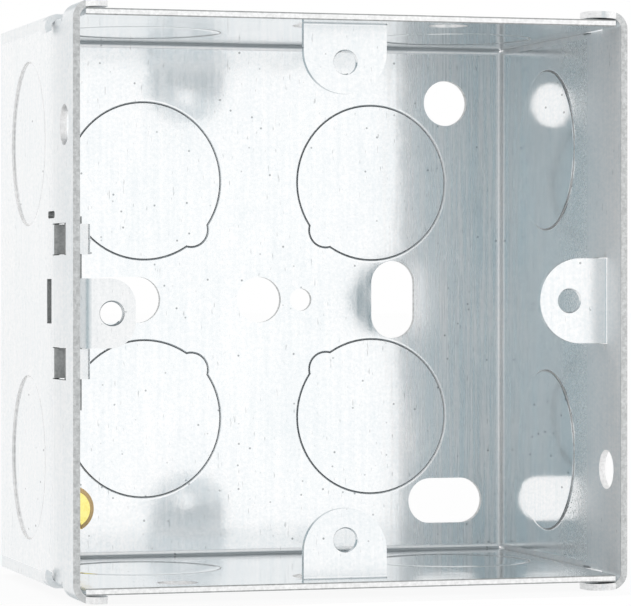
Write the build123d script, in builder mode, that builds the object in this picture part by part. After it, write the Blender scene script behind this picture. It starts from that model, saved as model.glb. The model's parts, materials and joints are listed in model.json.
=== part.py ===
from build123d import *
import os
from math import atan2, cos, degrees, pi, radians, sin

os.makedirs("parts", exist_ok=True)

# Flush wall box for one wiring accessory, in millimetres.
# X runs left to right, Y from the open front to the rear panel, Z upward.

# Box
box_width = 72.3
box_height = 71.75
box_depth = 47.0
sheet = 0.85
bend_radius = 0.6
seam_gap = 0.2
corner_relief = 0.5

# Fixed lugs, lanced out of the top, right and bottom walls
lug_pitch = 60.3
lug_width = 10.95
lug_nose = 4.0
lug_tip_flat = 0.1
lug_depth = 5.0
lug_bend_radius = 0.25
lug_hole_radius = 1.6
lance_gap = 0.12
root_notch = 0.9

# Adjustable lug and the two bridges that hold it to the left wall
slider_sheet = 1.5
slider_width = 8.65
slider_nose = 3.0
slider_corner_radius = 3.2
slider_bend_radius = 0.9
slider_plate_length = 6.0
slider_leg_width = 3.2
slider_leg_overhang = 7.7
slide_clearance = 0.15
stop_clearance = 0.05
slide_travel = 2.95
bridge_width = 3.75
bridge_depth = 8.2
bridge_bend_radius = 0.5
bridge_ramp = 1.6
bridge_flat = 4.1
bridge_foot = 1.0

# Knockouts: discs left in the sheet inside a groove
knockout_radius = 10.65
knockout_lobe_radius = 2.3
knockout_lobe_offset = 9.35
rear_knockout_offset = 16.25
side_knockout_offset = 20.3
end_knockout_offset = 21.5
wall_knockout_depth = 27.5
groove_depth = 0.15
groove_rim = 0.25
side_disc_rise = 0.2

# Holes in the walls
wall_hole_radius = 2.55
wall_hole_depth = 5.2
wall_hole_offset = 21.8
top_hole_offset = 13.75
side_slot_length = 5.6
side_slot_width = 2.75
side_slot_depth = 14.2
side_slit_length = 4.0
side_slit_width = 0.9
side_slit_depth = 12.9
side_slit_offset = 10.85

# Holes in the rear panel
fixing_radius = 3.15
fixing_slot_length = 10.8
fixing_side_margin = 8.2
upper_fixing_margin = 7.55
lower_fixing_margin = 6.85
middle_slot_offset = 19.4
small_hole_radius = 1.55
small_hole_offset = 6.0

# Front corner tabs, wrapped from the side walls over the top and bottom walls
tab_width = 6.5
tab_reach = 4.8
tab_gap = 0.2
tab_bend_radius = 1.4
tab_slope = 3.0
tab_corner_radius = 2.4
tab_relief = 0.75
tab_slit = 0.4

# Corner hooks, curled from the top and bottom walls round the outside of the side walls
hook_start = 10.9
hook_width = 2.4
hook_radius = 0.75
hook_inset = 0.35
hook_curl = 120.0
hook_gap = 0.2

# Earth screw and its collar
screw_radius = 1.9
screw_clearance = 0.05
screw_head_radius = 3.15
screw_head_height = 2.3
screw_rim_chamfer = 0.65
screw_slot_width = 0.9
screw_slot_depth = 1.0
screw_slot_angle = -70.0
collar_wall = 0.75
collar_height = 1.3

# Sizes that follow from the ones above
half_width = box_width / 2
half_height = box_height / 2
inner_half_width = half_width - sheet
inner_half_height = half_height - sheet
front = -box_depth / 2
rear = box_depth / 2
outer_bend_radius = bend_radius + sheet
through = 2 * sheet
lug_corner_radius = (lug_width - lug_tip_flat) / 2
groove_slope = degrees(atan2(groove_rim, groove_depth))
slider_outer_bend = slider_bend_radius + slider_sheet
bridge_clear = slider_sheet + 2 * slide_clearance
bridge_gap = slider_width + slide_travel + 2 * stop_clearance
bridge_offset = (bridge_gap + bridge_width) / 2
bridge_span = bridge_flat + 2 * bridge_ramp
slider_rest_drop = slide_travel / 2
slider_leg_span = slider_width + 2 * slider_leg_overhang
fixing_x = inner_half_width - fixing_side_margin
upper_fixing_z = inner_half_height - upper_fixing_margin
lower_fixing_z = -(inner_half_height - lower_fixing_margin)
collar_radius = screw_radius + screw_clearance + collar_wall
tab_outer_bend = tab_bend_radius + sheet

corners = [(side, end) for side in (-1, 1) for end in (-1, 1)]


def wall_plane(inward, distance):
    """Inner face of a wall: x runs along the wall, y rearward from the front edge, z inward."""
    along = Vector(0, 1, 0).cross(inward)
    return Plane(origin=Vector(0, front, 0) - inward * distance, x_dir=along, z_dir=inward)


def across_wall(wall, position=0):
    """Section plane through a wall: x runs rearward, y inward."""
    return Plane(origin=wall.origin + wall.x_dir * position, x_dir=wall.y_dir, z_dir=wall.x_dir)


def facing_front(wall, depth):
    """Plane that faces the open front: x runs along the wall, y inward from it."""
    return Plane(origin=wall.origin + wall.y_dir * depth, x_dir=wall.x_dir, z_dir=-wall.y_dir)


top_wall = wall_plane(Vector(0, 0, -1), inner_half_height)
bottom_wall = wall_plane(Vector(0, 0, 1), inner_half_height)
right_wall = wall_plane(Vector(-1, 0, 0), inner_half_width)
left_wall = wall_plane(Vector(1, 0, 0), inner_half_width)
rear_panel = Plane.XZ.offset(sheet - rear)
front_opening = Plane.XZ.offset(-front)


def fold(plane, centre, radius, thickness, toward):
    """Sketch of a right-angle fold, the quarter of a ring that lies toward the named corner."""
    with BuildSketch(plane) as section:
        with Locations(centre):
            Circle(radius + thickness)
            Circle(radius, mode=Mode.SUBTRACT)
            Rectangle(radius + thickness, radius + thickness, align=toward, mode=Mode.INTERSECT)
    return section.sketch


def tongue_outline(width, base, tip, corner_radius):
    """Outline of a flat tongue, straight across its base and rounded at the corners of its tip."""
    length = tip - base + 2 * corner_radius
    with Locations((0, tip)):
        RectangleRounded(width, length, corner_radius, align=(Align.CENTER, Align.MAX))
    with Locations((0, base)):
        Rectangle(width, length, align=(Align.CENTER, Align.MIN), mode=Mode.INTERSECT)


def cut_lug_window(wall, hole_reach):
    """Opening that a fixed lug leaves in its wall, with a pointed notch on each side of the root."""
    root = lug_depth - lug_bend_radius
    blank_length = hole_reach + lug_nose - lug_bend_radius + pi / 2 * (lug_bend_radius + sheet / 2)
    half_opening = lug_width / 2 + lance_gap
    tip = root + blank_length + lance_gap
    with BuildSketch(wall) as window:
        tongue_outline(2 * half_opening, root, tip, lug_corner_radius + lance_gap)
        for side in (-1, 1):
            Polygon(
                (side * lug_width / 4, root),
                (side * (half_opening + root_notch), root + root_notch),
                (side * lug_width / 4, root + 2 * root_notch),
                align=None,
            )
    extrude(window.sketch, amount=through, both=True, mode=Mode.SUBTRACT)


def add_lug(wall, hole_reach):
    """Fixed lug: a fold out of the wall, then a flat tongue with a round nose and a screw hole."""
    fold_centre = (lug_depth - lug_bend_radius, lug_bend_radius)
    bend = fold(across_wall(wall), fold_centre, lug_bend_radius, sheet, (Align.MIN, Align.MAX))
    extrude(bend, amount=lug_width / 2, both=True)
    with BuildSketch(facing_front(wall, lug_depth)) as tongue:
        tongue_outline(lug_width, lug_bend_radius, hole_reach + lug_nose, lug_corner_radius)
        with Locations((0, hole_reach)):
            Circle(lug_hole_radius, mode=Mode.SUBTRACT)
    extrude(tongue.sketch, amount=-sheet)


def cut_bridge_slot(position):
    """Slot that a bridge leaves in the left wall."""
    with BuildSketch(left_wall) as slot:
        with Locations((position, bridge_depth)):
            Rectangle(bridge_width + 2 * lance_gap, bridge_span + bridge_bend_radius)
    extrude(slot.sketch, amount=through, both=True, mode=Mode.SUBTRACT)


def add_bridge(position):
    """Strip of the left wall pushed inward, so that a leg of the adjustable lug passes behind it."""
    half_span = bridge_span / 2
    half_flat = bridge_flat / 2
    wall_level = -sheet / 2
    crest_level = bridge_clear + sheet / 2
    with BuildSketch(across_wall(left_wall, position)) as strip:
        with BuildLine():
            FilletPolyline(
                (bridge_depth - half_span - bridge_foot, wall_level),
                (bridge_depth - half_span, wall_level),
                (bridge_depth - half_flat, crest_level),
                (bridge_depth + half_flat, crest_level),
                (bridge_depth + half_span, wall_level),
                (bridge_depth + half_span + bridge_foot, wall_level),
                radius=bridge_bend_radius,
            )
        trace(line_width=sheet)
    extrude(strip.sketch, amount=bridge_width / 2, both=True)


def cut_knockout(face, centre, lobe_direction=None, rise=0):
    """Groove round one knockout, sloped on the sheet's side, and its disc, flush or shifted inward."""
    circles = [(Vector(*centre), knockout_radius)]
    if lobe_direction:
        lobe_centre = Vector(*centre) + Vector(*lobe_direction).normalized() * knockout_lobe_offset
        circles.append((lobe_centre, knockout_lobe_radius))
    for place, radius in circles:
        with BuildSketch(face) as pocket:
            with Locations(place):
                Circle(radius + groove_rim)
        extrude(pocket.sketch, amount=-groove_depth, taper=groove_slope, mode=Mode.SUBTRACT)
    with BuildSketch(face.offset(-groove_depth)) as disc:
        for place, radius in circles:
            with Locations(place):
                Circle(radius)
    extrude(disc.sketch, amount=groove_depth + rise)
    if rise:
        with BuildSketch(face.offset(-sheet)) as hollow:
            with Locations(centre):
                Circle(knockout_radius)
        extrude(hollow.sketch, amount=rise, mode=Mode.SUBTRACT)


def add_corner_tab(side, end):
    """Front corner tab: the side wall folds round the corner and lies just off the next wall."""
    slope = radians(tab_slope)
    centre_x = half_width - tab_outer_bend
    centre_z = half_height + tab_gap - tab_bend_radius
    far = 2 * tab_outer_bend
    with BuildSketch(front_opening) as bend:
        with Locations((side * centre_x, end * centre_z)):
            Circle(tab_outer_bend)
            Circle(tab_bend_radius, mode=Mode.SUBTRACT)
            Polygon(
                (0, 0),
                (side * far, 0),
                (side * far, end * far),
                (side * far * sin(slope), end * far * cos(slope)),
                align=None,
                mode=Mode.INTERSECT,
            )
    extrude(bend.sketch, amount=-tab_width)
    fold_x = centre_x + tab_bend_radius * sin(slope)
    fold_z = centre_z + tab_bend_radius * cos(slope)
    flat_length = (fold_x - half_width + tab_reach) / cos(slope)
    flat = Plane(
        origin=(side * fold_x, front + tab_width / 2, end * fold_z),
        x_dir=(-side * cos(slope), 0, end * sin(slope)),
        z_dir=(side * sin(slope), 0, end * cos(slope)),
    )
    with BuildSketch(flat) as outline:
        Rectangle(flat_length, tab_width, align=(Align.MIN, Align.CENTER))
        fillet(outline.vertices().group_by(Axis.X)[-1], radius=tab_corner_radius)
    extrude(outline.sketch, amount=sheet)


def add_corner_hook(side, end):
    """Corner hook: a strip of the top or bottom wall that curls round outside the side wall."""
    outer_radius = hook_radius + sheet
    centre_x = half_width - hook_inset
    far = 2 * outer_radius
    past_level = radians(hook_curl - 90)
    root_length = centre_x - inner_half_width + 2 * tab_relief
    with BuildSketch(front_opening.offset(-hook_start)) as section:
        with Locations((side * centre_x, end * (half_height - outer_radius))):
            Circle(outer_radius)
            Circle(hook_radius, mode=Mode.SUBTRACT)
            Polygon(
                (0, 0),
                (0, end * far),
                (side * far, end * far),
                (side * far * cos(past_level), -end * far * sin(past_level)),
                align=None,
                mode=Mode.INTERSECT,
            )
        with Locations((side * (centre_x - root_length / 2), end * (half_height - sheet / 2))):
            Rectangle(root_length, sheet)
    extrude(section.sketch, amount=-hook_width)


with BuildPart() as box_body:
    # Tray with rounded rear edges
    with BuildSketch(front_opening):
        Rectangle(box_width, box_height)
    extrude(amount=-box_depth)
    fillet(box_body.faces().sort_by(Axis.Y)[-1].edges(), radius=outer_bend_radius)
    with BuildSketch(front_opening):
        Rectangle(2 * inner_half_width, 2 * inner_half_height)
    extrude(amount=sheet - box_depth, mode=Mode.SUBTRACT)
    fillet(box_body.faces().filter_by(Axis.Y).sort_by(Axis.Y)[-2].edges(), radius=bend_radius)

    # Open seams where the top and bottom walls meet the side walls, ending in a rear relief notch
    with BuildSketch(front_opening):
        for side, end in corners:
            with Locations((side * (inner_half_width - seam_gap / 2), end * half_height)):
                Rectangle(seam_gap, 2 * outer_bend_radius)
    extrude(amount=outer_bend_radius - box_depth, mode=Mode.SUBTRACT)
    with BuildSketch(rear_panel.offset(-through)):
        for side, end in corners:
            with Locations((side * inner_half_width, end * inner_half_height)):
                Rectangle(corner_relief, corner_relief)
    extrude(amount=through + outer_bend_radius, mode=Mode.SUBTRACT)

    # Room for the front corner tabs
    with BuildSketch(front_opening):
        for side, end in corners:
            room = (Align.MIN if side > 0 else Align.MAX, Align.MIN if end > 0 else Align.MAX)
            room_x = inner_half_width - tab_relief
            room_z = half_height + tab_gap - tab_bend_radius
            with Locations((side * room_x, end * room_z)):
                Rectangle(half_width, half_height, align=room)
    extrude(amount=-tab_width - tab_slit, mode=Mode.SUBTRACT)

    # Notches behind the tabs, a little deeper where the corner hooks pass out over the side walls
    hook_notch_start = hook_start - hook_gap
    for notch_start, notch_length, drop in (
        (tab_width, hook_notch_start - tab_width, 0),
        (hook_notch_start, hook_width + 2 * hook_gap, hook_gap),
    ):
        with BuildSketch(front_opening.offset(-notch_start)):
            for side, end in corners:
                room = (Align.MIN if side > 0 else Align.MAX, Align.MIN if end > 0 else Align.MAX)
                room_x = inner_half_width - tab_relief
                with Locations((side * room_x, end * (inner_half_height - drop))):
                    Rectangle(half_width, half_height, align=room)
        extrude(amount=-notch_length, mode=Mode.SUBTRACT)

    # Openings in the walls
    cut_lug_window(top_wall, inner_half_height - lug_pitch / 2)
    cut_lug_window(bottom_wall, inner_half_height - lug_pitch / 2)
    cut_lug_window(right_wall, inner_half_width - lug_pitch / 2)
    cut_bridge_slot(-bridge_offset)
    cut_bridge_slot(bridge_offset)
    for wall, offset_along in (
        (top_wall, top_hole_offset),
        (right_wall, wall_hole_offset),
        (bottom_wall, wall_hole_offset),
        (left_wall, wall_hole_offset),
    ):
        with BuildSketch(wall):
            with Locations((-offset_along, wall_hole_depth)):
                Circle(wall_hole_radius)
        extrude(amount=through, both=True, mode=Mode.SUBTRACT)
    with BuildSketch(left_wall):
        with Locations((0, side_slot_depth)):
            Rectangle(side_slot_length, side_slot_width)
        with Locations((-side_slit_offset, side_slit_depth)):
            SlotOverall(side_slit_length, side_slit_width, rotation=90)
    extrude(amount=through, both=True, mode=Mode.SUBTRACT)

    # Knockouts
    for side, end in corners:
        centre = (side * rear_knockout_offset, end * rear_knockout_offset)
        cut_knockout(rear_panel, centre, lobe_direction=(-side, -end))
    for side in (-1, 1):
        for wall in (left_wall, right_wall):
            centre = (side * side_knockout_offset, wall_knockout_depth)
            cut_knockout(wall, centre, rise=side_disc_rise)
        for wall in (top_wall, bottom_wall):
            cut_knockout(wall, (side * end_knockout_offset, wall_knockout_depth))

    # Raised collar, tapped for the earth screw
    with BuildSketch(rear_panel):
        with Locations((-fixing_x, lower_fixing_z)):
            Circle(collar_radius)
    extrude(amount=collar_height)

    # Holes and slots in the rear panel
    with BuildSketch(rear_panel):
        with Locations((0, 0), (fixing_x, upper_fixing_z)):
            Circle(fixing_radius)
        with Locations((fixing_x, lower_fixing_z), (-middle_slot_offset, 0)):
            SlotOverall(fixing_slot_length, 2 * fixing_radius)
        with Locations((middle_slot_offset, 0)):
            SlotOverall(fixing_slot_length, 2 * fixing_radius, rotation=90)
        with Locations((small_hole_offset, 0)):
            Circle(small_hole_radius)
        with Locations((-fixing_x, lower_fixing_z)):
            Circle(screw_radius + screw_clearance)
    extrude(amount=through, both=True, mode=Mode.SUBTRACT)

    # Lugs, bridges, tabs and hooks
    add_lug(top_wall, inner_half_height - lug_pitch / 2)
    add_lug(bottom_wall, inner_half_height - lug_pitch / 2)
    add_lug(right_wall, inner_half_width - lug_pitch / 2)
    add_bridge(-bridge_offset)
    add_bridge(bridge_offset)
    for side, end in corners:
        add_corner_tab(side, end)
        add_corner_hook(side, end)

# The adjustable lug rests on its lower stop
slider_wall = Plane(
    origin=left_wall.origin + left_wall.x_dir * slider_rest_drop + left_wall.z_dir * slide_clearance,
    x_dir=left_wall.x_dir,
    z_dir=left_wall.z_dir,
)
slider_hole_reach = inner_half_width - slide_clearance - lug_pitch / 2

with BuildPart() as adjustable_lug:
    # Plate on the wall and the legs that run behind the bridges
    with BuildSketch(slider_wall):
        with Locations((0, lug_depth + slider_outer_bend)):
            Rectangle(
                slider_width,
                slider_plate_length - slider_outer_bend,
                align=(Align.CENTER, Align.MIN),
            )
        with Locations((0, bridge_depth)):
            Rectangle(slider_leg_span, slider_leg_width)
    extrude(amount=slider_sheet)
    # Fold
    fold_centre = (lug_depth + slider_outer_bend, slider_outer_bend)
    slider_fold = fold(
        across_wall(slider_wall), fold_centre, slider_bend_radius, slider_sheet, (Align.MAX, Align.MAX)
    )
    extrude(slider_fold, amount=slider_width / 2, both=True)
    # Tongue with the screw hole
    with BuildSketch(facing_front(slider_wall, lug_depth)):
        tip = slider_hole_reach + slider_nose
        tongue_outline(slider_width, slider_outer_bend, tip, slider_corner_radius)
        with Locations((0, slider_hole_reach)):
            Circle(lug_hole_radius, mode=Mode.SUBTRACT)
    extrude(amount=-slider_sheet)

# Earth screw, its head seated on the collar and its tip flush with the rear face
screw_base = Plane(origin=(-fixing_x, rear, lower_fixing_z), x_dir=(1, 0, 0), z_dir=(0, -1, 0))
head_seat = sheet + collar_height

with BuildPart() as earth_screw:
    with BuildSketch(screw_base):
        Circle(screw_radius)
    extrude(amount=head_seat)
    with BuildSketch(screw_base.offset(head_seat)):
        Circle(screw_head_radius)
    extrude(amount=screw_head_height)
    chamfer(earth_screw.faces().sort_by(Axis.Y)[0].edges(), length=screw_rim_chamfer)
    with BuildSketch(screw_base.offset(head_seat + screw_head_height)):
        Rectangle(2 * screw_head_radius, screw_slot_width, rotation=screw_slot_angle)
    extrude(amount=-screw_slot_depth, mode=Mode.SUBTRACT)

box_body.part.label = "box_body"
adjustable_lug.part.label = "adjustable_lug"
earth_screw.part.label = "earth_screw"
export_step(box_body.part, "parts/box_body.step")
export_step(adjustable_lug.part, "parts/adjustable_lug.step")
export_step(earth_screw.part, "parts/earth_screw.step")
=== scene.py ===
import json
from functools import cached_property
from math import cos, pi, radians, sin, sqrt

import bpy
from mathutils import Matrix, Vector


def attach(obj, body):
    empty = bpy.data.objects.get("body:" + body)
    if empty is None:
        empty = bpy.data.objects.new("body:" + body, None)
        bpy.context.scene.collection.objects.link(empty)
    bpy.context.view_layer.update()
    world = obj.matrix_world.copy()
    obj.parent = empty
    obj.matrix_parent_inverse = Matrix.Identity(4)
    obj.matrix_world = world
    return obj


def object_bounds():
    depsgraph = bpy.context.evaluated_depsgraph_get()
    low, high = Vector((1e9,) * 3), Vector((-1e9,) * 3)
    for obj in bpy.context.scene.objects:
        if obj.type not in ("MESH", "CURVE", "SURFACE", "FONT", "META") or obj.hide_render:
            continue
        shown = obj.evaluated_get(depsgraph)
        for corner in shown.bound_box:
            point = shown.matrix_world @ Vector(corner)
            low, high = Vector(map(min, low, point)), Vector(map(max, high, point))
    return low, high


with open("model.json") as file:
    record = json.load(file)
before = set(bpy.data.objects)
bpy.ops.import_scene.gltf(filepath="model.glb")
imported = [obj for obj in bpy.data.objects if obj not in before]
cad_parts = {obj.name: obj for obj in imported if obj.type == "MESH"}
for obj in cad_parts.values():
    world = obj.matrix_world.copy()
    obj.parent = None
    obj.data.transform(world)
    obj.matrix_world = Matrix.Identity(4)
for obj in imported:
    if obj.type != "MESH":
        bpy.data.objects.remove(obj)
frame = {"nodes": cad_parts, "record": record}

MM = 0.001
cad_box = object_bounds()
low, high = (Vector(corner) for corner in cad_box)
centre = (low + high) / 2
nodes = frame["nodes"]
mounts = {mount["name"]: mount for mount in frame["record"]["mounts"]}
scene = bpy.context.scene


# Node helpers

class Graph:
    """The node tree of one material or world. A socket given another socket is linked to it."""

    def __init__(self, tree):
        self.tree = tree

    def put(self, socket, value):
        if isinstance(value, bpy.types.NodeSocket):
            self.tree.links.new(value, socket)
        else:
            socket.default_value = value

    def node(self, kind, **sockets):
        new = self.tree.nodes.new(kind)
        for name, value in sockets.items():
            self.put(new.inputs[name.replace("_", " ")], value)
        return new

    def math(self, operation, first, second=0.0, clamp=False):
        new = self.tree.nodes.new("ShaderNodeMath")
        new.operation = operation
        new.use_clamp = clamp
        self.put(new.inputs[0], first)
        self.put(new.inputs[1], second)
        return new.outputs[0]

    def dot(self, first, second):
        new = self.tree.nodes.new("ShaderNodeVectorMath")
        new.operation = "DOT_PRODUCT"
        self.put(new.inputs[0], first)
        self.put(new.inputs[1], second)
        return new.outputs["Value"]

    def ramp(self, value, low_in, high_in, low_out=0.0, high_out=1.0):
        """Maps low_in..high_in to low_out..high_out and holds the ends."""
        new = self.node("ShaderNodeMapRange", Value=value, From_Min=low_in, From_Max=high_in,
                        To_Min=low_out, To_Max=high_out)
        return new.outputs[0]

    def noise(self, position, size, stretch=(1, 1, 1), detail=3.0, roughness=0.5):
        """Noise with features of the given size in metres, longer on the stretched axes."""
        scale = [1 / (size * factor) for factor in stretch]
        mapped = self.node("ShaderNodeMapping", Vector=position, Scale=scale).outputs[0]
        texture = self.node("ShaderNodeTexNoise", Vector=mapped, Scale=1.0, Detail=detail,
                            Roughness=roughness)
        return texture.outputs["Fac"]

    def blend(self, factor, first, second):
        """Mixes two numbers."""
        new = self.tree.nodes.new("ShaderNodeMix")
        for socket, value in zip((new.inputs[0], new.inputs[2], new.inputs[3]), (factor, first, second)):
            self.put(socket, value)
        return new.outputs[0]

    def tint(self, factor, first, second):
        """Mixes two colours."""
        new = self.tree.nodes.new("ShaderNodeMix")
        new.data_type = "RGBA"
        self.put(new.inputs[0], factor)
        for socket, colour in ((new.inputs[6], first), (new.inputs[7], second)):
            self.put(socket, colour if isinstance(colour, bpy.types.NodeSocket) else (*colour, 1))
        return new.outputs[2]

    def above(self, value, limit):
        return self.math("GREATER_THAN", value, limit)

    def below(self, value, limit):
        return self.math("LESS_THAN", value, limit)

    def between(self, value, least, most):
        return self.every(self.above(value, least), self.below(value, most))

    def every(self, *masks):
        """Product of masks: one only where each of them is one."""
        product = masks[0]
        for mask in masks[1:]:
            product = self.math("MULTIPLY", product, mask)
        return product

    def some(self, *masks):
        """Greatest of masks."""
        greatest = masks[0]
        for mask in masks[1:]:
            greatest = self.math("MAXIMUM", greatest, mask)
        return greatest

    def seen_directly(self):
        """One for camera, mirror and see-through rays, nought for the rays that light the object."""
        path = self.node("ShaderNodeLightPath")
        seen = self.math("ADD", path.outputs["Is Camera Ray"], path.outputs["Is Glossy Ray"])
        return self.math("ADD", seen, path.outputs["Is Transmission Ray"], clamp=True)


def new_material(name):
    material = bpy.data.materials.new(name)
    material.use_nodes = True
    graph = Graph(material.node_tree)
    shader = next(node for node in material.node_tree.nodes if node.type == "BSDF_PRINCIPLED")
    return material, graph, shader


# Sizes of the sheet and its folds

sheet = 0.85 * MM
half_width = 36.15 * MM
half_height = 35.875 * MM
inner_half_width = half_width - sheet
inner_half_height = half_height - sheet
rear_inner = high.y - sheet
fold_size = 0.7 * MM
off_fold = 2 * fold_size
off_corner = 3 * fold_size
hair = 0.05 * MM
off_wall = 2 * hair
edge_layer = 3 * hair
behind_edge = 4 * hair
burr = 0.15 * MM

# Sizes of the knockouts, each an outline with a groove, and a disc that dips at its brim

knockout_radius = 10.65 * MM
lobe_radius = 2.3 * MM
lobe_offset = 9.35 * MM
rear_knockout_offset = 16.25 * MM
side_knockout_offset = 20.3 * MM
end_knockout_offset = 21.5 * MM
wall_knockout_depth = low.y + 27.5 * MM
groove_width = 0.3 * MM
groove_start = 0.01 * MM
groove_end = 0.3 * MM
# Width of the grey line painted along the rear knockout outlines, partly sheared steel and partly painted
# shade of the crack gap
shaded_crack_width = 0.08 * MM
ring_core = 0.6
ring_rim = 1.2
rollover_width = 0.5 * MM
rollover_depth = 0.05 * MM
dished_width = 1.8 * MM
dished_depth = 0.14 * MM

# Sizes of the lugs and of the guide for the sliding one

lug_front = mounts["accessory_screws"]["pos_m"][1]
slider_sheet = mounts["adjustable_lug_hole"]["dims"]["length_mm"] * MM
guide_front = low.y + 6.6 * MM
guide_depth = 10 * MM
guide_half_height = 14 * MM
guide_reach = 3 * MM
bridge_reach = 1.7 * MM

# How far the wear of the front edge reaches back, and the dull strip of the rear panel by the right wall

worn_depth = 20 * MM
scuffed_depth = 27 * MM
frosted_depth = 34 * MM
strip_start = 17 * MM
strip_full = 27 * MM


# Places on the box that look different

level_step = (0.4, 0.6)
half_turned = 0.5


class Places:
    """Masks, from nought to one, for the parts of the sheet, and the distances that they come from."""

    def __init__(self, graph, position, normal):
        self.graph = graph
        place = graph.node("ShaderNodeSeparateXYZ", Vector=position)
        facing = graph.node("ShaderNodeSeparateXYZ", Vector=normal)
        steepness = {axis: graph.math("ABSOLUTE", facing.outputs[axis]) for axis in "XYZ"}
        outward = graph.math("MULTIPLY", place.outputs["X"], facing.outputs["X"])
        self.sideways = place.outputs["X"]
        self.depth = place.outputs["Y"]
        self.across = graph.math("ABSOLUTE", place.outputs["X"])
        self.height = graph.math("ABSOLUTE", place.outputs["Z"])
        self.from_middle = graph.some(self.across, self.height)
        self.on_right = graph.above(self.sideways, 0.0)
        self.on_level_wall = graph.ramp(steepness["Z"], *level_step)
        self.faces_out = graph.above(outward, 0.0)
        self.faces_back = graph.above(facing.outputs["Y"], half_turned)
        self.edge_on = {axis: graph.below(steepness[axis], half_turned) for axis in "XYZ"}

    def from_circle(self, axes, middle, radius):
        """Distance outside a circle in the plane of two axes."""
        math = self.graph.math
        squares = [math("POWER", math("SUBTRACT", axis, place), 2.0) for axis, place in zip(axes, middle)]
        return math("SUBTRACT", math("SQRT", math("ADD", *squares)), radius)

    @cached_property
    def rear_outline(self):
        """Distance outside the outlines of the rear knockouts, discs that each have a lobe."""
        axes = (self.across, self.height)
        lobe_middle = rear_knockout_offset - lobe_offset / sqrt(2)
        disc = self.from_circle(axes, (rear_knockout_offset, rear_knockout_offset), knockout_radius)
        lobe = self.from_circle(axes, (lobe_middle, lobe_middle), lobe_radius)
        return self.graph.math("MINIMUM", disc, lobe)

    @cached_property
    def side_outline(self):
        """Distance outside the outlines of the knockouts in the left and right walls."""
        middle = (wall_knockout_depth, side_knockout_offset)
        return self.from_circle((self.depth, self.height), middle, knockout_radius)

    @cached_property
    def end_outline(self):
        """Distance outside the outlines of the knockouts in the top and bottom walls."""
        middle = (end_knockout_offset, wall_knockout_depth)
        return self.from_circle((self.across, self.depth), middle, knockout_radius)

    @cached_property
    def rear_panel(self):
        return self.graph.above(self.depth, rear_inner - hair)

    @cached_property
    def side_walls(self):
        return self.graph.above(self.across, inner_half_width - hair)

    @cached_property
    def end_walls(self):
        return self.graph.above(self.height, inner_half_height - hair)

    def ring(self, outline, reach, axis, start, end):
        """Ring of the given reach on both sides of an outline, from start to end of a third axis."""
        graph = self.graph
        distance = graph.math("ABSOLUTE", outline)
        ring = graph.ramp(distance, ring_core * reach, ring_rim * reach, 1.0, 0.0)
        return graph.every(ring, graph.between(axis, start, end))

    def rear_rings(self, reach):
        """Rings in the grooves of the rear knockouts."""
        start, end = rear_inner + groove_start, rear_inner + groove_end
        return self.ring(self.rear_outline, reach, self.depth, start, end)

    @cached_property
    def wall_grooves(self):
        """Grooves of the wall knockouts, on the inside and the outside."""
        rings = []
        for outline, axis, inner, outer in (
            (self.side_outline, self.across, inner_half_width, half_width),
            (self.end_outline, self.height, inner_half_height, half_height),
        ):
            rings.append(self.ring(outline, groove_width, axis, inner + groove_start, inner + groove_end))
            rings.append(self.ring(outline, groove_width, axis, outer - groove_end, outer - groove_start))
        return self.graph.some(*rings)

    @cached_property
    def brim_dips(self):
        """How far the sheet and the disc dip at the brim of each knockout, in metres."""
        graph = self.graph
        dips = []
        for outline, disc_width, disc_depth, on_sheet in (
            (self.rear_outline, hair, rollover_depth, self.rear_panel),
            (self.side_outline, dished_width, dished_depth, self.side_walls),
            (self.end_outline, dished_width, dished_depth, self.end_walls),
        ):
            on_disc = graph.ramp(outline, -disc_width, 0.0)
            around = graph.ramp(outline, 0.0, rollover_width, 1.0, 0.0)
            near = graph.math("MINIMUM", on_disc, around)
            deepest = graph.blend(graph.above(outline, 0.0), disc_depth, rollover_depth)
            dips.append(graph.every(near, near, on_sheet, deepest))
        return graph.some(*dips)

    def front_part(self, reach):
        """One at the front edge of the side walls, fading to nought over the reach."""
        fade = self.graph.ramp(self.depth, low.y, low.y + reach, 1.0, 0.0)
        return self.graph.every(self.side_walls, fade)

    def right_front_part(self, reach):
        """The same for the right wall alone."""
        return self.graph.every(self.front_part(reach), self.on_right)

    @cached_property
    def strip(self):
        """The strip of the rear panel beside the right wall."""
        return self.graph.every(self.rear_panel, self.graph.ramp(self.sideways, strip_start, strip_full))

    @cached_property
    def lugs(self):
        """Lugs, in the flat sheet parallel to the rear panel."""
        graph = self.graph
        in_layer = graph.between(self.depth, lug_front - hair, lug_front + slider_sheet + hair)
        return graph.every(in_layer, graph.below(self.from_middle, inner_half_height - hair))

    @cached_property
    def lug_backs(self):
        return self.graph.every(self.lugs, self.faces_back)

    @cached_property
    def bends(self):
        """Folds along the rear edges, and the tabs and hooks at the corners."""
        graph = self.graph
        near_sides = graph.above(self.across, inner_half_width - fold_size)
        near_ends = graph.above(self.height, inner_half_height - fold_size)
        near_rear = graph.above(self.depth, rear_inner - fold_size)
        return graph.some(
            graph.every(near_rear, graph.some(near_sides, near_ends)),
            graph.every(near_sides, near_ends),
            graph.above(self.across, half_width + hair),
            graph.above(self.height, half_height + hair),
        )

    @cached_property
    def rear_hole_edges(self):
        """Cut edges of the holes in the rear panel."""
        graph = self.graph
        in_panel = graph.above(self.depth, rear_inner)
        off_folds = graph.below(self.from_middle, inner_half_height - off_fold)
        return graph.every(self.edge_on["Y"], in_panel, off_folds)

    @cached_property
    def wall_hole_edges(self):
        """Cut edges of the holes in the walls."""
        graph = self.graph
        off_ends = graph.between(self.depth, low.y + behind_edge, rear_inner - off_fold)
        walls = []
        for axis, distance, along, face in (
            ("X", self.across, self.height, inner_half_width),
            ("Z", self.height, self.across, inner_half_height),
        ):
            off_corners = graph.below(along, inner_half_height - off_corner)
            walls.append(graph.every(self.edge_on[axis], graph.above(distance, face), off_corners))
        return graph.every(off_ends, graph.some(*walls))

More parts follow.
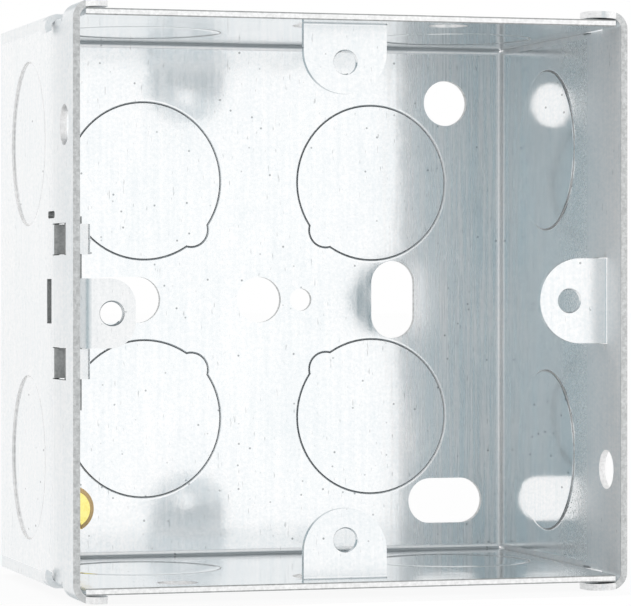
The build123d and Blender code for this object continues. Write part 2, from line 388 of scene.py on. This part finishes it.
    @cached_property
    def guide(self):
        """The stretch of the left wall that guides the sliding lug."""
        graph = self.graph
        in_depth = graph.between(self.depth, guide_front - hair, guide_front + guide_depth)
        return graph.every(in_depth, graph.below(self.height, guide_half_height))

    @cached_property
    def guide_edges(self):
        """Cut edges of the sliding lug, the bridges and the slits beside them."""
        graph = self.graph
        in_bridges = graph.between(self.across, inner_half_width - bridge_reach, half_width - off_wall)
        return graph.every(self.edge_on["X"], in_bridges, self.guide)

    @cached_property
    def recess(self):
        """What shows through the windows of the bridges from outside."""
        graph = self.graph
        behind_wall = graph.between(self.across, inner_half_width - guide_reach, half_width - off_wall)
        return graph.every(self.faces_out, behind_wall, self.guide)

    @cached_property
    def front_edge(self):
        """Cut front edge of all four walls and the corner tabs."""
        return self.graph.below(self.depth, low.y + edge_layer)

    @cached_property
    def side_edge(self):
        """Cut front edge of the two side walls, with their corner tabs."""
        graph = self.graph
        return graph.every(self.front_edge, graph.above(self.across, inner_half_width - fold_size))

    @cached_property
    def edge_burrs(self):
        """Two fine lines along the front edge of the top and bottom walls."""
        graph = self.graph
        faces = (inner_half_height, half_height)
        lines = [graph.between(self.height, face - burr, face + burr) for face in faces]
        off_sides = graph.below(self.across, inner_half_width - fold_size)
        return graph.every(self.front_edge, off_sides, graph.some(*lines))


# Zinc

noise_spread = (0.3, 0.7)
noise_core = (0.35, 0.65)
noise_upper = (0.4, 0.7)
streak_step = (0.4, 0.6)
frost_step = (0.53, 0.57)
dash_step = (0.72, 0.8)

# Painted shade: the top and bottom walls get a darker grey-blue than the side walls
level_wall_painted_shade = (0.62, 0.66, 0.68)
mark_grey = (0.2, 0.22, 0.23)
# Partly the dark sheared steel, partly painted shade of the crack gap at the rear knockouts
sheared_steel_and_crack_shade = (0.45, 0.46, 0.47)
light_steel = ((0.78, 0.78, 0.78), (0.97, 0.97, 0.97))
cut_steel = ((0.52, 0.53, 0.53), (0.74, 0.75, 0.75))
# Dark cut steel for the edge burrs, used also as painted shade in the guide of the sliding lug and behind
# its bridge windows
dark_steel_and_painted_shade = ((0.26, 0.27, 0.27), (0.40, 0.41, 0.41))


class Texture:
    """Patterns of the rolled and galvanised surface, which its colour, shine and relief share."""

    def __init__(self, graph, position, on_level_wall):
        self.position = position
        streak_up = graph.noise(position, 0.5 * MM, stretch=(1, 1, 30), detail=4)
        streak_back = graph.noise(position, 0.5 * MM, stretch=(1, 30, 1), detail=4)
        self.streaks = graph.blend(on_level_wall, streak_up, streak_back)
        self.clouds = graph.noise(position, 12 * MM, detail=6, roughness=0.65)
        self.grain = graph.noise(position, 0.4 * MM, stretch=(1, 2.5, 1), detail=4, roughness=0.7)
        self.frost = graph.noise(position, 0.12 * MM, stretch=(1, 2, 3), detail=2)
        self.dashes = graph.noise(position, 0.3 * MM, stretch=(1, 1, 5), detail=1)
        self.waves = graph.noise(position, 6 * MM, detail=2)


def dark_marks(graph, texture):
    """Specks in some of the cells of an uneven pattern, and short dashes."""
    cell_size = 1.5 * MM
    share_with_specks = 0.4
    speck_core, speck_rim = 0.05, 0.13
    speck_strength, dash_strength = 0.8, 0.4
    spread = graph.node("ShaderNodeMapping", Vector=texture.position, Scale=(1.0, 0.4, 1.0)).outputs[0]
    cells = graph.node("ShaderNodeTexVoronoi", Vector=spread, Scale=1 / cell_size)
    pick = graph.node("ShaderNodeSeparateXYZ", Vector=cells.outputs["Color"]).outputs[0]
    dots = graph.ramp(cells.outputs["Distance"], speck_core, speck_rim, speck_strength, 0.0)
    specks = graph.every(graph.below(pick, share_with_specks), dots)
    return graph.some(specks, graph.ramp(texture.dashes, *dash_step, 0.0, dash_strength))


def zinc_colour(graph, places, texture, bright, dull):
    """Colour of the sheet, with streaks, faint clouds, fine grain, dark marks and greyer cut edges, and
    painted shade on the top and bottom walls, in the sliding lug's guide and along the rear knockout
    lines.
    """
    streak_tone = 0.2
    grain_tone = 0.3
    clouds = graph.ramp(texture.clouds, *noise_spread, *noise_spread)
    streaks = graph.ramp(texture.streaks, *noise_spread, -streak_tone, streak_tone)
    grain = graph.ramp(texture.grain, *noise_core, -grain_tone, grain_tone)
    tone = graph.math("ADD", graph.math("ADD", clouds, streaks), grain, clamp=True)
    colour = graph.tint(tone, dull, bright)
    # Painted shade: the top and bottom walls are tinted darker
    colour = graph.tint(places.on_level_wall, colour, level_wall_painted_shade)
    colour = graph.tint(dark_marks(graph, texture), colour, mark_grey)

    patchy = graph.ramp(texture.grain, *noise_core)
    for place, (darkest, lightest) in (
        (graph.some(places.front_edge, places.wall_hole_edges), light_steel),
        (graph.some(places.side_edge, places.rear_hole_edges), cut_steel),
        # Painted shade: the cut edges in the guide and the faces seen through the bridge windows are
        # painted dark; the edge burrs are dark steel
        (graph.some(places.guide_edges, places.recess, places.edge_burrs), dark_steel_and_painted_shade),
        (places.wall_grooves, light_steel),
    ):
        colour = graph.tint(place, colour, graph.tint(patchy, darkest, lightest))
    # Painted shade along the rear knockout outlines, partly sheared steel and partly the shadow in the
    # crack
    return graph.tint(places.rear_rings(shaded_crack_width), colour, sheared_steel_and_crack_shade)


def zinc_metallic(graph, places, texture):
    """Metal, less so where the zinc is cracked at a groove or a fold, scuffed or dull."""
    streaky_strip = graph.every(places.strip, graph.ramp(texture.streaks, *streak_step, 0.25, 1.0))
    matte = 0.0
    for place, share in (
        (places.wall_grooves, 0.7),
        (places.bends, 0.4),
        (places.right_front_part(scuffed_depth), 0.4),
        (streaky_strip, 0.6),
    ):
        matte = graph.some(graph.math("MULTIPLY", place, share), matte)
    return graph.math("SUBTRACT", 1.0, matte)


def zinc_roughness(graph, places, texture, clear):
    """Almost a mirror, a little hazy in clouds and streaks, and dull where it is frosted, worn or cut."""
    cloudy = 1.5 * clear
    streak_haze = 0.04
    frosty = 0.55
    clouds = graph.ramp(texture.clouds, *noise_upper, clear, cloudy)
    streaks = graph.ramp(texture.streaks, *noise_upper, 0.0, streak_haze)
    frosted = graph.every(graph.ramp(texture.frost, *frost_step), places.right_front_part(frosted_depth))
    rough = graph.blend(frosted, graph.math("ADD", clouds, streaks), frosty)
    for place, least in (
        (places.front_part(worn_depth), 0.7),
        (places.strip, 0.25),
        (places.lugs, 0.25),
        (places.bends, 0.3),
        (graph.some(places.rear_rings(groove_width), places.wall_grooves), 0.5),
        (graph.some(places.front_edge, places.wall_hole_edges), 0.3),
        (graph.some(places.side_edge, places.rear_hole_edges, places.guide_edges, places.recess), 0.6),
    ):
        rough = graph.some(rough, graph.math("MULTIPLY", place, least))
    return graph.blend(places.lug_backs, rough, clear)


def zinc_relief(graph, places, texture):
    """Shallow waves, fine grain that is coarser on the side walls, and the dips of the knockouts."""
    wave_height_mm = 0.03
    grain_height_mm = 0.002
    side_grain_height_mm = 0.006
    grain_height = graph.blend(places.side_walls, grain_height_mm, side_grain_height_mm)
    waves = graph.math("MULTIPLY", texture.waves, wave_height_mm)
    height = graph.math("ADD", waves, graph.math("MULTIPLY", texture.grain, grain_height))
    height = graph.math("SUBTRACT", height, graph.math("DIVIDE", places.brim_dips, MM))
    return graph.node("ShaderNodeBump", Strength=1.0, Distance=MM, Height=height).outputs[0]


def zinc(name, bright, dull, roughness):
    """Bright galvanised sheet."""
    material, graph, shader = new_material(name)
    position = graph.node("ShaderNodeTexCoord").outputs["Object"]
    normal = graph.node("ShaderNodeNewGeometry").outputs["Normal"]
    places = Places(graph, position, normal)
    texture = Texture(graph, position, places.on_level_wall)
    graph.put(shader.inputs["Base Color"], zinc_colour(graph, places, texture, bright, dull))
    graph.put(shader.inputs["Metallic"], zinc_metallic(graph, places, texture))
    graph.put(shader.inputs["Roughness"], zinc_roughness(graph, places, texture, roughness))
    graph.put(shader.inputs["Normal"], zinc_relief(graph, places, texture))
    return material


# Brass

face_brass = ((0.97, 0.84, 0.26), (1.00, 0.92, 0.34))
rim_brass = (1.00, 0.70, 0.34)
face_tilt = -0.9


def brass(name):
    """Turned brass, with a duller and redder rim."""
    material, graph, shader = new_material(name)
    position = graph.node("ShaderNodeTexCoord").outputs["Object"]
    normal = graph.node("ShaderNodeNewGeometry").outputs["Normal"]
    facing_back = graph.node("ShaderNodeSeparateXYZ", Vector=normal).outputs["Y"]
    rim = graph.above(facing_back, face_tilt)
    grain = graph.ramp(graph.noise(position, 0.35 * MM, detail=4), *noise_core)
    colour = graph.tint(rim, graph.tint(grain, *face_brass), rim_brass)
    graph.put(shader.inputs["Base Color"], colour)
    graph.put(shader.inputs["Metallic"], graph.ramp(rim, 0.0, 1.0, 1.0, 0.2))
    graph.put(shader.inputs["Roughness"], graph.ramp(rim, 0.0, 1.0, 0.2, 0.5))
    return material


sheet_zinc = zinc("galvanised_sheet", bright=(0.95, 0.95, 0.95), dull=(0.80, 0.84, 0.86), roughness=0.08)
lug_zinc = zinc("lug_steel", bright=(0.91, 0.91, 0.91), dull=(0.78, 0.80, 0.81), roughness=0.12)
screw_brass = brass("screw_brass")

for node_name, material in (
    ("box_body", sheet_zinc),
    ("adjustable_lug", lug_zinc),
    ("earth_screw", screw_brass),
):
    nodes[node_name].data.materials.clear()
    nodes[node_name].data.materials.append(material)


# Threads in the tapped lugs

thread_pitch = 0.6 * MM
thread_height = 0.16 * MM
thread_sink = 0.02 * MM
thread_half_width = 0.3 * thread_pitch
thread_steps = 36


def thread(name, front_face, hole_radius, thickness, material, body):
    """Helical ridge of triangular section inside one tapped hole, whose axis runs along Y."""
    turns = (thickness - 2 * thread_half_width) / thread_pitch
    count = round(turns * thread_steps)
    section = (
        (hole_radius + thread_sink, -thread_half_width),
        (hole_radius - thread_height, 0.0),
        (hole_radius + thread_sink, thread_half_width),
    )
    points = []
    for step in range(count + 1):
        angle = 2 * pi * step / thread_steps
        depth = front_face.y + thread_half_width + thread_pitch * step / thread_steps
        for radius, offset in section:
            points.append((
                front_face.x + radius * cos(angle),
                depth + offset,
                front_face.z + radius * sin(angle),
            ))
    faces = [(0, 1, 2), (3 * count, 3 * count + 2, 3 * count + 1)]
    for step in range(count):
        first = 3 * step
        for corner in range(3):
            after = (corner + 1) % 3
            faces.append((first + corner, first + corner + 3, first + after + 3, first + after))
    mesh = bpy.data.meshes.new(name)
    mesh.from_pydata(points, [], faces)
    mesh.materials.append(material)
    piece = bpy.data.objects.new(name, mesh)
    scene.collection.objects.link(piece)
    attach(piece, body)


lug_hole_radius = mounts["accessory_screws"]["dims"]["hole_r_mm"] * MM
half_pitch = mounts["accessory_screws"]["dims"]["spacing_y_mm"] * MM / 2
fixed_lugs = Vector(mounts["accessory_screws"]["pos_m"])
slider_hole = Vector(mounts["adjustable_lug_hole"]["pos_m"]) - Vector((0, slider_sheet / 2, 0))

for name, offset in (
    ("top_thread", Vector((0, 0, half_pitch))),
    ("bottom_thread", Vector((0, 0, -half_pitch))),
    ("right_thread", Vector((half_pitch, 0, 0))),
):
    thread(name, fixed_lugs + offset, lug_hole_radius, sheet, sheet_zinc, "box")
thread("slider_thread", slider_hole, lug_hole_radius, slider_sheet, lug_zinc, "lug")


# Camera, where the photograph was taken from

image_width = 631
focal_pixels = 3363.17
camera_place = Vector((-123.312, -424.778, 2.121)) * MM
camera_yaw = radians(16.374)
camera_pitch = radians(-0.318)

camera_data = bpy.data.cameras.new("camera")
camera_data.sensor_width = 36.0
camera_data.lens = camera_data.sensor_width * focal_pixels / image_width
camera_data.clip_start = 0.01
camera_data.clip_end = 20.0
camera = bpy.data.objects.new("camera", camera_data)
camera.location = camera_place
camera.rotation_euler = (radians(90) + camera_pitch, 0, -camera_yaw)
scene.collection.objects.link(camera)
scene.camera = camera


# Floor, pale and almost white where it is seen, which keeps the shadow of the box

floor_half = 4.0
floor_front = low.y - 6 * MM
floor_grey = (0.9, 0.9, 0.9, 1)
floor_roughness = 0.9
floor_glow = 0.9

floor_mesh = bpy.data.meshes.new("floor")
floor_corners = [
    (-floor_half, floor_front, 0),
    (floor_half, floor_front, 0),
    (floor_half, floor_half, 0),
    (-floor_half, floor_half, 0),
]
floor_mesh.from_pydata(floor_corners, [], [(0, 1, 2, 3)])
floor = bpy.data.objects.new("floor", floor_mesh)
floor.location = (0, 0, low.z)
scene.collection.objects.link(floor)

floor_material, floor_graph, floor_shader = new_material("floor")
floor_shader.inputs["Base Color"].default_value = floor_grey
floor_shader.inputs["Roughness"].default_value = floor_roughness
glow_share = floor_graph.math("MULTIPLY", floor_graph.seen_directly(), floor_glow)
glow = floor_graph.node("ShaderNodeEmission", Strength=1.0)
mixed = floor_graph.node("ShaderNodeMixShader", Fac=glow_share)
floor_graph.put(mixed.inputs[1], floor_shader.outputs[0])
floor_graph.put(mixed.inputs[2], glow.outputs[0])
output = next(node for node in floor_material.node_tree.nodes if node.type == "OUTPUT_MATERIAL")
floor_graph.put(output.inputs["Surface"], mixed.outputs[0])
floor_mesh.materials.append(floor_material)


# White room, with a dim spot toward the photographer that only the metal mirrors

dim_inner_angle = radians(9)
dim_outer_angle = radians(23)
dim_grey = (0.36, 0.46, 0.50)

world = bpy.data.worlds.new("studio")
world.use_nodes = True
scene.world = world
world_graph = Graph(world.node_tree)
background = world.node_tree.nodes["Background"]
direction = world_graph.node("ShaderNodeTexCoord").outputs["Generated"]
toward_photographer = (camera_place - centre).normalized()
closeness = world_graph.dot(direction, toward_photographer)
dim_spot = world_graph.ramp(closeness, cos(dim_outer_angle), cos(dim_inner_angle))
mirrored = world_graph.node("ShaderNodeLightPath").outputs["Is Glossy Ray"]
room_colour = world_graph.tint(world_graph.every(mirrored, dim_spot), (1, 1, 1), dim_grey)
world_graph.put(background.inputs["Color"], room_colour)


# Lamp

def softbox(name, direction, distance, size, power):
    """Square area light that faces the box from the given direction."""
    data = bpy.data.lights.new(name, "AREA")
    data.size = size
    data.energy = power
    lamp = bpy.data.objects.new(name, data)
    lamp.location = centre + direction.normalized() * distance
    lamp.rotation_euler = (-direction).to_track_quat("-Z", "Y").to_euler()
    lamp.visible_camera = False
    scene.collection.objects.link(lamp)


softbox("front_softbox", direction=Vector((0.28, -0.96, 0.0)), distance=0.9, size=0.9, power=0.25)

scene.view_settings.view_transform = "Standard"
